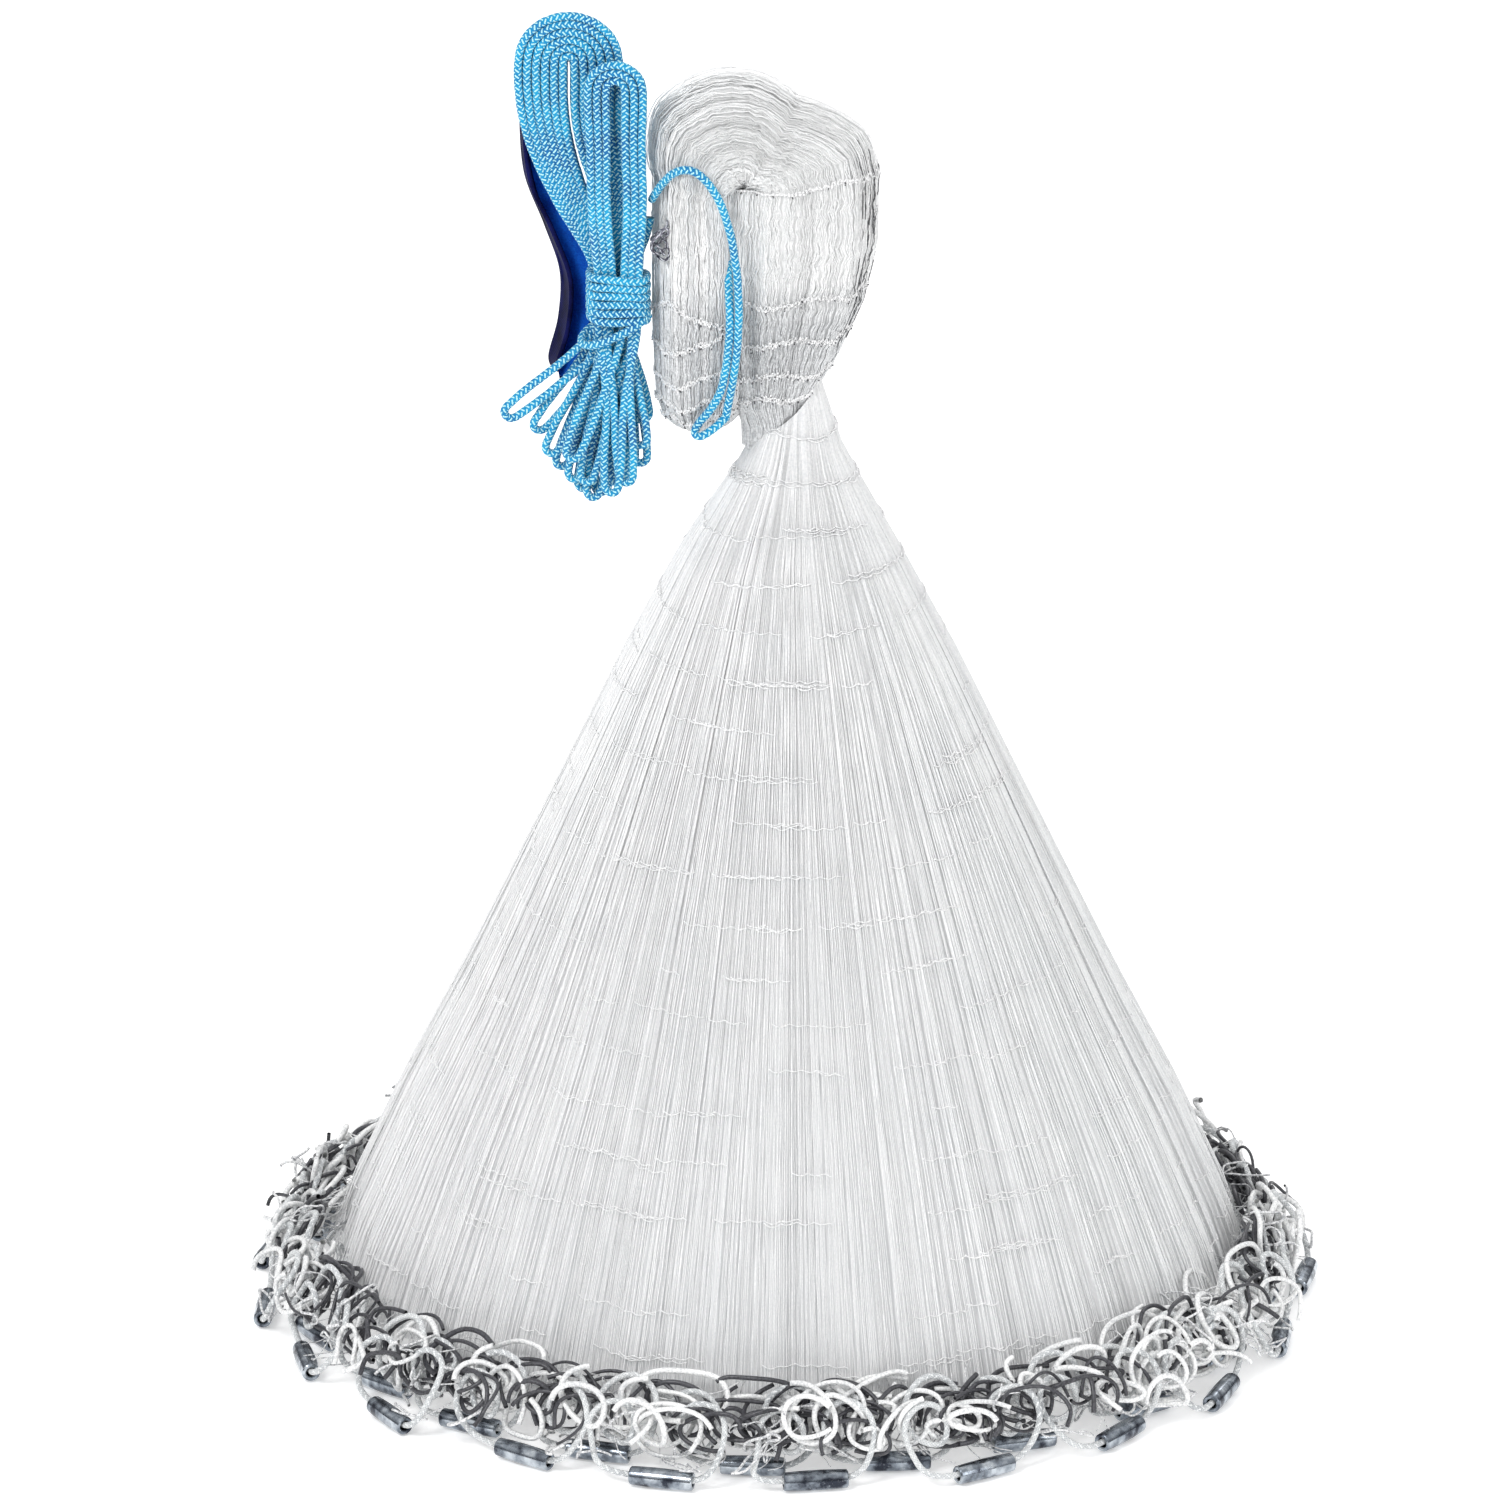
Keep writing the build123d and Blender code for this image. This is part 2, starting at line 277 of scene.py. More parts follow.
class Shader:
    """A new Principled material with short calls for its nodes."""

    def __init__(self, name, **values):
        self.material = bpy.data.materials.new(name)
        self.material.use_nodes = True
        self.tree = self.material.node_tree
        self.surface = self.tree.nodes["Principled BSDF"]
        for socket, value in values.items():
            self.surface.inputs[socket.replace("_", " ")].default_value = value

    def node(self, kind, inputs=(), **settings):
        made = self.tree.nodes.new(kind)
        for name, value in settings.items():
            setattr(made, name, value)
        for name, value in dict(inputs).items():
            if isinstance(value, bpy.types.NodeSocket):
                self.tree.links.new(value, made.inputs[name])
            else:
                made.inputs[name].default_value = value
        return made

    def math(self, operation, a, b=0.0):
        return self.node("ShaderNodeMath", {0: a, 1: b}, operation=operation).outputs[0]

    def noise(self, vector, scale, detail=4.0, rough=0.55):
        made = self.node("ShaderNodeTexNoise", {"Scale": scale, "Detail": detail, "Roughness": rough})
        self.tree.links.new(vector, made.inputs["Vector"])
        return made.outputs["Fac"]

    def ramp(self, value, *stops):
        made = self.node("ShaderNodeValToRGB", {"Fac": value})
        elements = made.color_ramp.elements
        while len(elements) < len(stops):
            elements.new(0.5)
        for element, (place, colour) in zip(elements, stops):
            element.position = place
            element.color = (*colour, 1)
        return made.outputs["Color"]

    def mix(self, share, a, b, blend="MIX"):
        made = self.node("ShaderNodeMix", data_type="RGBA", blend_type=blend)
        for socket, value in ((made.inputs[0], share), (made.inputs[6], a), (made.inputs[7], b)):
            if isinstance(value, bpy.types.NodeSocket):
                self.tree.links.new(value, socket)
            else:
                socket.default_value = (*value, 1) if isinstance(value, tuple) else value
        return made.outputs[2]

    def to(self, socket, value):
        self.tree.links.new(value, self.surface.inputs[socket])

    def bump(self, height, strength, distance):
        inputs = {"Height": height, "Strength": strength, "Distance": distance}
        made = self.node("ShaderNodeBump", inputs)
        self.to("Normal", made.outputs["Normal"])

    def place(self):
        return self.node("ShaderNodeTexCoord").outputs["Object"]

    def uv(self):
        return self.node("ShaderNodeTexCoord").outputs["UV"]

    def split(self, vector):
        return self.node("ShaderNodeSeparateXYZ", {0: vector}).outputs

    def pair(self, x, y):
        return self.node("ShaderNodeCombineXYZ", {0: x, 1: y}).outputs[0]

    def blend(self, a, a_share, b, b_share):
        return self.math("ADD", self.math("MULTIPLY", a, a_share), self.math("MULTIPLY", b, b_share))

    def share(self, value, low, high, at_low=0.0, at_high=1.0):
        """Value rescaled from low..high to at_low..at_high, and held at either end."""
        inputs = {0: value, 1: low, 2: high, 3: at_low, 4: at_high}
        return self.node("ShaderNodeMapRange", inputs).outputs[0]


# One yarn in this many is the light one.
FLECK_EVERY = 3.0


def braid_material(name, ground, dark, fleck, carriers, rough):
    """Round braid: some yarns light, with painted shade darkening the valleys between picks."""
    shader = Shader(name, Roughness=rough, Sheen_Weight=0.06, Specular_IOR_Level=0.25)
    u, v, _ = shader.split(shader.uv())
    round_share = shader.math("MULTIPLY", v, float(carriers))
    one = shader.math("ADD", u, round_share)
    two = shader.math("SUBTRACT", u, round_share)
    floors = shader.math("ADD", shader.math("FLOOR", one), shader.math("FLOOR", two))
    over = shader.math("LESS_THAN", shader.math("FLOORED_MODULO", floors, 2.0), 1.0)

    def pick(a, b):
        gap = shader.math("SUBTRACT", a, b)
        return shader.math("ADD", shader.math("MULTIPLY", gap, over), b)

    def ridge(phase):
        part = shader.math("FLOORED_MODULO", phase, 1.0)
        return shader.math("SINE", shader.math("MULTIPLY", part, pi))

    def is_fleck(phase):
        return shader.math("LESS_THAN", shader.math("FLOORED_MODULO", phase, FLECK_EVERY), 1.0)

    height = pick(ridge(one), ridge(two))
    flecks = pick(is_fleck(one), is_fleck(two))
    wander = shader.noise(shader.place(), 55.0, 3.0)
    base = shader.mix(shader.ramp(wander, (0.35, (0, 0, 0)), (0.65, (1, 1, 1))), dark, ground)
    yarn = shader.mix(flecks, base, fleck)
    fibre = shader.noise(shader.place(), 2600.0, 2.0)
    # Painted shade: the colour is darkened in the valleys between picks, where shade falls.
    valley = shader.math("POWER", height, 0.45)
    shade = shader.ramp(valley, (0.0, (0.10, 0.20, 0.26)), (0.75, (1, 1, 1)))
    tone = shader.ramp(fibre, (0.3, (0.82, 0.84, 0.86)), (0.7, (1.0, 1.0, 1.0)))
    shaded = shader.mix(1.0, yarn, shade, "MULTIPLY")
    shader.to("Base Color", shader.mix(1.0, shaded, tone, "MULTIPLY"))
    relief = shader.math("ADD", height, shader.math("MULTIPLY", fibre, 0.35))
    shader.bump(relief, 0.6, 0.0004)
    return shader.material


def netting_material(name, light, dark, rough):
    """Monofilament or thin twine: glossy, a little darker in patches."""
    shader = Shader(name, Roughness=rough, Coat_Weight=0.3, Coat_Roughness=0.15)
    patch = shader.noise(shader.place(), 38.0, 3.0)
    fine = shader.noise(shader.place(), 900.0, 2.0)
    tone = shader.blend(patch, 0.3, fine, 0.7)
    shader.to("Base Color", shader.ramp(tone, (0.38, dark), (0.58, light)))
    shader.bump(fine, 0.2, 0.0002)
    return shader.material


# Height of the grey bands' upper edge on the folded head.
GREY_BELOW, WHITE_ABOVE = 0.500, 0.522


def above_grey_bands(shader):
    """0 in the grey bands low on the folded head and 1 above them, with a ragged edge."""
    patch = shader.noise(shader.place(), 70.0, 2.0)
    height = shader.split(shader.place())[2]
    edge = shader.math("ADD", height, shader.math("MULTIPLY", patch, 0.02))
    return shader.share(edge, GREY_BELOW, WHITE_ABOVE)


def head_strand_material(name):
    """Monofilament of the folded head: white above, greyer in the flat bands low down."""
    shader = Shader(name, Roughness=0.26, Coat_Weight=0.3, Coat_Roughness=0.15)
    fine = shader.noise(shader.place(), 900.0, 2.0)
    bright = shader.ramp(fine, (0.38, (0.87, 0.88, 0.88)), (0.58, (0.985, 0.985, 0.985)))
    grey = shader.ramp(fine, (0.38, (0.62, 0.63, 0.64)), (0.60, (0.84, 0.85, 0.86)))
    shader.to("Base Color", shader.mix(above_grey_bands(shader), grey, bright))
    shader.bump(fine, 0.2, 0.0002)
    return shader.material


def veil_material(name, light, dark, threads):
    """Dense netting seen as a sheet: fine threads down round the Z axis, with painted shade greying it
    low down and painted light paling it higher up.
    """
    shader = Shader(name, Roughness=0.5, Sheen_Weight=0.3)
    across, depth, height = shader.split(shader.place())
    angle = shader.math("ARCTAN2", depth, across)
    down = shader.math("MULTIPLY", height, 5.0)
    thread = shader.noise(shader.pair(shader.math("MULTIPLY", angle, threads), down), 1.0, 5.0, 0.62)
    band_angle = shader.math("MULTIPLY", angle, threads * 0.12)
    band = shader.noise(shader.pair(band_angle, height), 1.0, 2.0)
    tone = shader.blend(thread, 0.75, band, 0.25)
    low = shader.ramp(tone, (0.36, dark), (0.60, light))
    high = shader.ramp(tone, (0.36, (0.84, 0.845, 0.85)), (0.60, (0.98, 0.98, 0.98)))
    # Painted shade and light: the colour runs from greyer near the hem to paler higher up.
    shader.to("Base Color", shader.mix(shader.share(height, 0.10, 0.34), low, high))
    shader.bump(thread, 0.4, 0.0010)
    return shader.material


def head_veil_material(name):
    """Dense netting of the folded head: threads along the bundle, grey bands low down."""
    shader = Shader(name, Roughness=0.40, Sheen_Weight=0.3)
    u, v, _ = shader.split(shader.uv())
    across = shader.math("MULTIPLY", u, 330.0)
    along = shader.math("MULTIPLY", v, 26.0)
    thread = shader.noise(shader.pair(across, along), 1.0, 4.0, 0.6)
    bright = shader.ramp(thread, (0.34, (0.82, 0.83, 0.83)), (0.56, (0.985, 0.985, 0.985)))
    grey = shader.ramp(thread, (0.32, (0.60, 0.61, 0.62)), (0.66, (0.80, 0.81, 0.82)))
    shader.to("Base Color", shader.mix(above_grey_bands(shader), grey, bright))
    shader.bump(thread, 0.4, 0.0006)
    return shader.material


def sinker_material():
    """Zinc-plated steel tube: cool mirror grey, stained, dull where tubes knock together."""
    shader = Shader("sinker_zinc", Metallic=1.0)
    place = shader.place()
    blotch = shader.noise(place, 120.0, 4.0)
    scratch = shader.noise(place, 1500.0, 3.0, 0.7)
    stain, plain, clean = (0.04, 0.045, 0.06), (0.24, 0.27, 0.31), (0.52, 0.56, 0.60)
    colour = shader.ramp(blotch, (0.36, stain), (0.50, plain), (0.66, clean))
    worn = shader.ramp(scratch, (0.64, (0, 0, 0)), (0.76, (1, 1, 1)))
    shader.to("Base Color", shader.mix(worn, colour, (0.80, 0.83, 0.86)))
    shader.to("Roughness", shader.share(blotch, 0.35, 0.65, 0.30, 0.13))
    shader.bump(shader.math("ADD", blotch, shader.math("MULTIPLY", scratch, 0.3)), 0.22, 0.0003)
    return shader.material


def strap_material(name, colour, edge, rough):
    """Tight woven webbing with a fine rib across."""
    shader = Shader(name, Roughness=rough, Specular_IOR_Level=0.15, IOR=1.1)
    height = shader.split(shader.place())[2]
    rib = shader.math("SINE", shader.math("MULTIPLY", height, 2 * pi / 0.0011))
    fibre = shader.noise(shader.place(), 1200.0, 3.0)
    patch = shader.noise(shader.place(), 60.0, 2.0)
    tone = shader.blend(patch, 0.6, fibre, 0.4)
    shader.to("Base Color", shader.ramp(tone, (0.35, edge), (0.62, colour)))
    shader.bump(shader.math("ADD", shader.math("MULTIPLY", rib, 0.5), fibre), 0.4, 0.0002)
    return shader.material


def floor_material():
    shader = Shader("floor_white", Roughness=0.9)
    grain = shader.noise(shader.place(), 30.0, 3.0)
    shader.to("Base Color", shader.ramp(grain, (0.3, (0.95, 0.95, 0.95)), (0.7, (0.97, 0.97, 0.97))))
    shader.surface.inputs["Emission Color"].default_value = (1.0, 1.0, 1.0, 1)
    shader.surface.inputs["Emission Strength"].default_value = 0.34
    return shader.material


# Braids: ground, dark and fleck colours, carriers round the cord and roughness.
HAND_BRAID = braid_material(
    "hand_line_braid", (0.006, 0.42, 0.76), (0.002, 0.18, 0.48), (0.56, 0.95, 0.98), 9, 0.45
)
LEAD_BRAID = braid_material(
    "lead_line_braid", (0.86, 0.86, 0.85), (0.56, 0.57, 0.58), (0.95, 0.95, 0.94), 6, 0.5
)
TWINE_BRAID = braid_material(
    "selvedge_twine", (0.78, 0.78, 0.78), (0.48, 0.48, 0.49), (0.9, 0.9, 0.89), 6, 0.5
)
TWINE_DARK = braid_material(
    "lashing_twine", (0.26, 0.25, 0.30), (0.03, 0.03, 0.05), (0.75, 0.75, 0.80), 6, 0.5
)
# Netting and twine: light and dark colours and roughness.
STRAND_CLEAR = netting_material("monofilament", (0.98, 0.98, 0.98), (0.87, 0.88, 0.89), 0.26)
HEAD_STRAND = head_strand_material("head_monofilament")
KNOT_WHITE = netting_material("mesh_knots", (0.99, 0.99, 0.99), (0.90, 0.90, 0.91), 0.35)
TWINE_WHITE = netting_material("tie_twine", (0.86, 0.86, 0.86), (0.30, 0.31, 0.33), 0.4)
LOOP_WHITE = netting_material("loop_cord", (0.93, 0.93, 0.92), (0.60, 0.61, 0.62), 0.45)
# TWINE_SHADE is painted shade: near-black strands set where shade falls, between the lead line's cords,
# along the head's outer edge and under its knots.
TWINE_SHADE = netting_material("painted_shade_strands", (0.06, 0.06, 0.07), (0.015, 0.015, 0.02), 0.5)
SKIRT_VEIL = veil_material("skirt_netting", (0.88, 0.88, 0.885), (0.60, 0.61, 0.62), 190.0)
HEAD_VEIL = head_veil_material("head_netting")
STRAP_OUT = strap_material("strap_navy", (0.010, 0.012, 0.085), (0.003, 0.003, 0.016), 0.5)
STRAP_IN = strap_material("strap_blue", (0.010, 0.13, 0.62), (0.006, 0.04, 0.30), 0.45)
SINKER_ZINC = sinker_material()

# --- lead line ----------------------------------------------------------------

# Between two sinkers the slack line curls round twice; angles are round each curl.
CURL_ANGLES = [[-20, 40, 100, 160, 220, 275], [345, 400, 460, 520, 575]]
CURL_AHEAD = [0.017, 0.012]
CURL_RADIUS = [0.0145, 0.0125]
CURL_FLOOR = 0.0135
CURL_LEAN = 0.4
CURL_WANDER = 0.0025
LINE_OUT = 0.021
LINE_IN = 0.031


def ring_frame(angle):
    """Outward and forward unit vectors at an angle round the ring."""
    outward = Vector((cos(radians(angle)), sin(radians(angle)), 0))
    forward = Vector((-sin(radians(angle)), cos(radians(angle)), 0))
    return outward, forward


def ring_angle(index):
    return index * STEP_ANGLE + 0.9 * sin(2.3 * index)


def sinker_pose(index):
    """Centre and axis direction of one sinker, lying on the ground."""
    outward, forward = ring_frame(ring_angle(index))
    row = OUTER_ROW_RADIUS if index % 2 == 0 else INNER_ROW_RADIUS
    radius = row + ROW_WANDER * sin(1.7 * index + 0.6)
    centre = outward * radius + Vector((0, 0, SINKER_RADIUS))
    yaw = radians(YAW_WANDER * sin(2.9 * index + 1.1))
    return centre, forward * cos(yaw) + outward * sin(yaw)


def slack_route(index):
    """Points of the lead line from one sinker's middle to the next one's."""
    centre, axis = sinker_pose(index)
    next_centre, next_axis = sinker_pose((index + 1) % SINKER_COUNT)
    outward, forward = ring_frame(ring_angle(index))
    across = (next_centre - centre).dot(outward)
    points = [centre, centre + axis * LINE_OUT]
    point_count = sum(len(angles) for angles in CURL_ANGLES)
    for curl, angles in enumerate(CURL_ANGLES):
        curl_radius = CURL_RADIUS[curl] + 0.0015 * sin(3.1 * index + 2 * curl)
        ahead = CURL_AHEAD[curl] + 0.002 * sin(4.3 * index + curl)
        for angle in angles:
            step = len(points) - 1
            height = CURL_FLOOR + curl_radius * (1 + sin(radians(angle)))
            lean = CURL_LEAN * max(0, height - 0.020)
            wander = CURL_WANDER * sin(2.2 * step + 1.7 * index)
            share = across * (0.05 + 0.9 * step / point_count)
            flat = centre + forward * (ahead + curl_radius * cos(radians(angle)))
            flat += outward * (share - lean + wander)
            points.append(Vector((flat.x, flat.y, height)))
    points.append(next_centre - next_axis * LINE_IN + Vector((0, 0, 0.0008)))
    return points


def make_lead_line():
    route = []
    for index in range(SINKER_COUNT):
        route += slack_route(index)
    route.append(sinker_pose(0)[0])
    line = smooth_route("lead_line", route)
    piece, path = braided_tube(
        "lead_line_cord", line, LEAD_LINE, pitch=0.0016, carriers=6, sides=10, step=0.0010,
        body="net", material=LEAD_BRAID,
    )
    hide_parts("lead_line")
    return path


# --- hand line ----------------------------------------------------------------

WAIST_TOP = 0.517
WAIST_FOOT = 0.486
WAIST_LEFT = -0.0865
WAIST_RIGHT = -0.0665
# Depth of each layer of turns, front to back, and which layer each turn lies in.
LAYER_DEPTHS = [-0.0225, -0.0183, -0.0141, -0.0099]
TURN_LAYERS = [2, 3, 0, 2, 3, 1, 2, 3, 0, 2, 3, 1, 2, 3, 0, 2, 3]
# Lowest point of each turn's bight, fanned out from left to right.
BIGHT_TIPS = [
    (-0.1290, 0.4430), (-0.1150, 0.4350), (-0.0800, 0.4080), (-0.1090, 0.4250), (-0.1040, 0.4170),
    (-0.0920, 0.4120), (-0.0980, 0.4120), (-0.0935, 0.4060), (-0.0730, 0.4130), (-0.0890, 0.4030),
    (-0.0850, 0.4040), (-0.0660, 0.4300), (-0.0770, 0.4100), (-0.0720, 0.4180), (-0.0990, 0.4250),
    (-0.0660, 0.4200), (-0.0650, 0.4400),
]
BIGHT_HALF = 0.0033
# Share of the way down to a bight's tip, and its width there in half widths.
BIGHT_SPREADS = [(0.40, 1.1), (0.75, 1.25), (0.87, 1.15), (1.0, 0.9)]


def upper_loop(layer, ring):
    """Centre x, half width and top of one upper loop: a big leaning group, a small one in front."""
    shift = 0.0020 * (layer % 2)
    if layer < 2:
        return -0.0775, 0.0126 - 0.0041 * ring - shift, 0.6165 - 0.0041 * ring - shift
    return -0.0990, max(0.0023, 0.0232 - 0.0041 * ring - shift), 0.6382 - 0.0041 * ring - shift


def hank_route():
    """Route of the whole hand line: seventeen turns pinched at the waist."""
    seen = [0, 0, 0, 0]
    counts = [TURN_LAYERS.count(k) for k in range(4)]
    route = [(-0.0615, -0.0150, 0.5400), (-0.0640, -0.0150, 0.5250)]
    waist = np.array([(WAIST_LEFT + WAIST_RIGHT) / 2, WAIST_FOOT])
    for turn, layer in enumerate(TURN_LAYERS):
        ring = seen[layer]
        seen[layer] += 1
        depth = LAYER_DEPTHS[layer]
        width = WAIST_RIGHT - WAIST_LEFT
        left_slot = WAIST_LEFT + width * (ring + 0.2) / (2 * counts[layer])
        right_slot = WAIST_RIGHT - width * (ring + 0.2) / (2 * counts[layer])
        wobble = 0.0010 * sin(2.1 * turn)
        tip = np.array(BIGHT_TIPS[turn])
        down = (tip - waist) / np.linalg.norm(tip - waist)
        side = np.array([down[1], -down[0]])
        length = np.linalg.norm(tip - waist)
        route.append((left_slot, depth, WAIST_FOOT))
        for sign, spreads in ((1, BIGHT_SPREADS), (-1, BIGHT_SPREADS[::-1])):
            for share, spread in spreads:
                x, z = waist + down * length * share + sign * side * BIGHT_HALF * spread
                route.append((x, depth - sign * wobble * share, z))
        route += [(right_slot, depth, WAIST_FOOT), (right_slot, depth, WAIST_TOP)]
        centre, reach, top = upper_loop(layer, ring)
        flare = 0.5 * (right_slot + centre + reach)
        route += [(flare + 0.0015, depth, 0.546), (centre + 0.94 * reach, depth, 0.580 + wobble)]
        for angle in (10, 50, 90, 130, 170):
            x = centre + reach * 1.08 * cos(radians(angle))
            z = top - reach * 1.05 * (1 - sin(radians(angle)))
            route.append((x, depth + wobble * cos(radians(angle)), z))
        route += [
            (centre - 0.92 * reach, depth, 0.581 + wobble),
            (0.5 * (left_slot + centre - 0.92 * reach) - 0.0015, depth, 0.546),
            (left_slot, depth, WAIST_TOP),
        ]
    route += [(-0.0865, -0.0080, 0.4950), (-0.0850, -0.0035, 0.4990)]
    return route


def hand_cord(name, line, body, step=0.0009):
    """A run of hand line along a line."""
    return braided_tube(
        name, line, HAND_LINE, HAND_PICK, carriers=9, sides=12, step=step,
        body=body, material=HAND_BRAID,
    )


def make_hank():
    route = hank_route()
    line = smooth_route("hand_line", route)
    piece, path = hand_cord("hand_line_cord", line, "hank")
    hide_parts("hand_line_hank")


def make_wraps():
    """Six wraps round the waist of the hank and one that runs down across it."""
    middle_x, middle_y = -0.0765, -0.0162
    reach_x, reach_y = 0.0135, 0.0100
    wraps, per_wrap = 6, 14
    route = []
    for step in range(wraps * per_wrap + 1):
        angle = 2 * pi * step / per_wrap + pi / 2
        across = abs(cos(angle)) ** 0.7 * (1 if cos(angle) > 0 else -1)
        deep = abs(sin(angle)) ** 0.7 * (1 if sin(angle) > 0 else -1)
        height = 0.5145 - 0.0040 * step / per_wrap + 0.0006 * sin(1.3 * step)
        route.append((middle_x + reach_x * across, middle_y + reach_y * deep, height))
    route += [
        (-0.0920, -0.0130, 0.4850), (-0.0945, -0.0200, 0.4800), (-0.0880, -0.0262, 0.4810),
        (-0.0770, -0.0275, 0.4860), (-0.0665, -0.0260, 0.4915), (-0.0625, -0.0190, 0.4940),
    ]
    line = smooth_route("hank_wraps", route)
    piece, path = hand_cord("waist_wraps", line, "hank")
    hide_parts("hank_wraps")


TIE_ROUTE = [
    (-0.061, -0.017, 0.549), (-0.055, -0.024, 0.562), (-0.044, -0.032, 0.570), (-0.033, -0.035, 0.562),
    (-0.025, -0.0355, 0.543), (-0.021, -0.035, 0.517), (-0.0205, -0.0345, 0.492), (-0.023, -0.033, 0.467),
    (-0.027, -0.031, 0.447),
]


def make_head_tie():
    line = smooth_route("head_tie", TIE_ROUTE)
    piece, path = hand_cord("head_tie_cord", line, "net")
    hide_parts("head_tie")


# --- floor and skirt ------------------------------------------------------------


def make_floor():
    size = 30.0  # half the floor's side
    corners = [(-1, -1), (1, -1), (1, 1), (-1, 1)]
    points = [(size * x, size * y, -0.0005) for x, y in corners]
    mesh = bpy.data.meshes.new("floor")
    mesh.from_pydata(points, [], [(0, 1, 2, 3)])
    mesh.materials.append(floor_material())
    floor = bpy.data.objects.new("floor", mesh)
    SCENE.collection.objects.link(floor)


OUTLINE_RADII, OUTLINE_HEIGHTS = np.array(SKIRT_OUTLINE).T
LEANS, LEAN_HEIGHTS = np.array(SKIRT_LEAN).T
PLEATS = [(13, 0.5, 1.0), (23, 2.1, 0.8), (37, 4.0, 0.7), (58, 1.2, 0.55), (83, 3.3, 0.4)]


def skirt_radius(height):
    return np.interp(height, OUTLINE_HEIGHTS, OUTLINE_RADII)


def pleat(angle, height):
    """Share by which the netting stands in or out, deepest near the hem."""
    wave = sum(size * np.sin(count * angle + phase + 2.0 * height) for count, phase, size in PLEATS)
    fade = np.clip((0.47 - height) / 0.42, 0.15, 1.0)
    return 0.0085 * fade * wave


def skirt_point(angle, height, inset=0.0):
    """Points of the pleated skirt; arrays broadcast."""
    radius = skirt_radius(height) * (1 + pleat(angle, height)) - inset
    lean = np.interp(height, LEAN_HEIGHTS, LEANS)
    return np.stack([radius * np.cos(angle) + lean, radius * np.sin(angle), height + 0 * radius], -1)


def skirt_outward(angle):
    return np.stack([np.cos(angle), np.sin(angle), 0.4 + 0 * angle], -1)


def neck_height(angle):
    """Top edge of the skirt: higher on the right, where the fold tapers into it."""
    return 0.441 + 0.015 * np.cos(angle)


def make_skirt_veil():
    rows, columns = 60, 900
    angle = np.linspace(0, 2 * pi, columns, endpoint=False)[None]
    share = np.linspace(0, 1, rows)[:, None] ** 0.9
    foot = 0.0185 + 0.002 * np.sin(19 * angle) + 0.0015 * np.sin(47 * angle + 1)
    height = foot + (neck_height(angle) - foot) * share
    points = skirt_point(angle, height, 0.0022).reshape(-1, 3)
    veil = mesh_object(
        "skirt_netting", points, grid_faces(rows, columns, True), "net", SKIRT_VEIL
    )
    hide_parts("net_skirt")


def make_skirt_strands():
    """Fine monofilament strands from the neck to the hem, knotted to their neighbours."""
    strands, samples, groups = 1300, 27, 4
    base = np.arange(strands) * 2 * pi / strands + rng.normal(0, 0.0012, strands)
    foot = 0.014 + 0.010 * rng.random(strands) ** 2
    share = np.linspace(0, 1, samples)[None]
    height = foot[:, None] + (neck_height(base)[:, None] + 0.004 - foot[:, None]) * share
    zigzag = ((np.arange(samples)[None] + np.arange(strands)[:, None]) % 2 - 0.5) * 0.0016
    wander = np.cumsum(rng.normal(0, 0.00055, (strands, samples)), axis=1)
    angle = base[:, None] + zigzag + wander
    lift = rng.normal(0.0006, 0.0007, strands)[:, None] * np.clip((0.47 - height) / 0.3, 0.2, 1)
    lines = skirt_point(angle, height, -lift)
    outward = skirt_outward(angle)
    thickness = (0.00022 + 0.00012 * rng.random(strands))[:, None]
    thickness = thickness * np.clip((0.50 - height) / 0.2, 0.45, 1)
    per_group = strands // groups
    for group in range(groups):
        some = slice(group * per_group, (group + 1) * per_group)
        points, faces = strand_mesh(lines[some], thickness[some], 3, outward[some])
        mesh_object(f"skirt_strands_{group + 1}", points, faces, "net", STRAND_CLEAR)


def make_knot_rows():
    """Rows of mesh knots: short wavy arcs of linked strands, at even steps down the skirt."""
    parts = []
    places = []
    for row in range(20):
        height = 0.045 + MESH_ROW * row
        radius = float(skirt_radius(height))
        arcs = int(10 + 26 * radius / 0.2)
        for _ in range(arcs):
            start = rng.random() * 2 * pi
            width = rng.uniform(0.010, 0.045) / radius
            samples = 24
            angle = start + width * np.linspace(0, 1, samples)
            scallops = width * radius / 0.0075
            sag = 0.0011 * np.abs(np.sin(pi * scallops * np.linspace(0, 1, samples)))
            level = height + rng.normal(0, 0.0012) - sag + 0.0012 * np.sin(2 * angle + row)
            line = skirt_point(angle, level, -0.0011)[None]
            parts.append(strand_mesh(line, 0.00032, 3, skirt_outward(angle)[None]))
            places.append(line[0, ::3])
    places = np.concatenate(places)
    parts.append(knot_mesh(places, rng.uniform(0.00035, 0.0007, len(places))))
    points, faces = joined(*parts)
    mesh_object("skirt_knots", points, faces, "net", KNOT_WHITE)


# --- folded head ----------------------------------------------------------------

# The bundle rises from the neck, bends over a low pivot and hangs down on the left.
RISE_HEIGHTS = [0.424, 0.436, 0.4495, 0.468, 0.495, 0.524, 0.556]
RISE_MIDDLE = [-0.004, -0.003, -0.0055, -0.0040, -0.0005, 0.0025, 0.00375]
RISE_HALF_WIDTH = [0.0135, 0.0150, 0.0180, 0.0270, 0.0345, 0.0380, 0.03725]
RISE_HALF_DEPTH = [0.0100, 0.0130, 0.0160, 0.020, 0.027, 0.030, 0.031]
BEND_PIVOT = (-0.0175, 0.556)
BEND_ANGLES = [0, 20, 40, 57, 80, 104, 141, 165, 180]
BEND_INNER = [-0.016, -0.016, -0.015, -0.014, -0.013, -0.013, -0.011, -0.006, -0.002]
BEND_REACH = [0.0585, 0.057, 0.047, 0.041, 0.045, 0.0480, 0.050, 0.044, 0.040]
FALL_DROP = [0, 0.016, 0.066, 0.104, 0.115, 0.121, 0.1245]
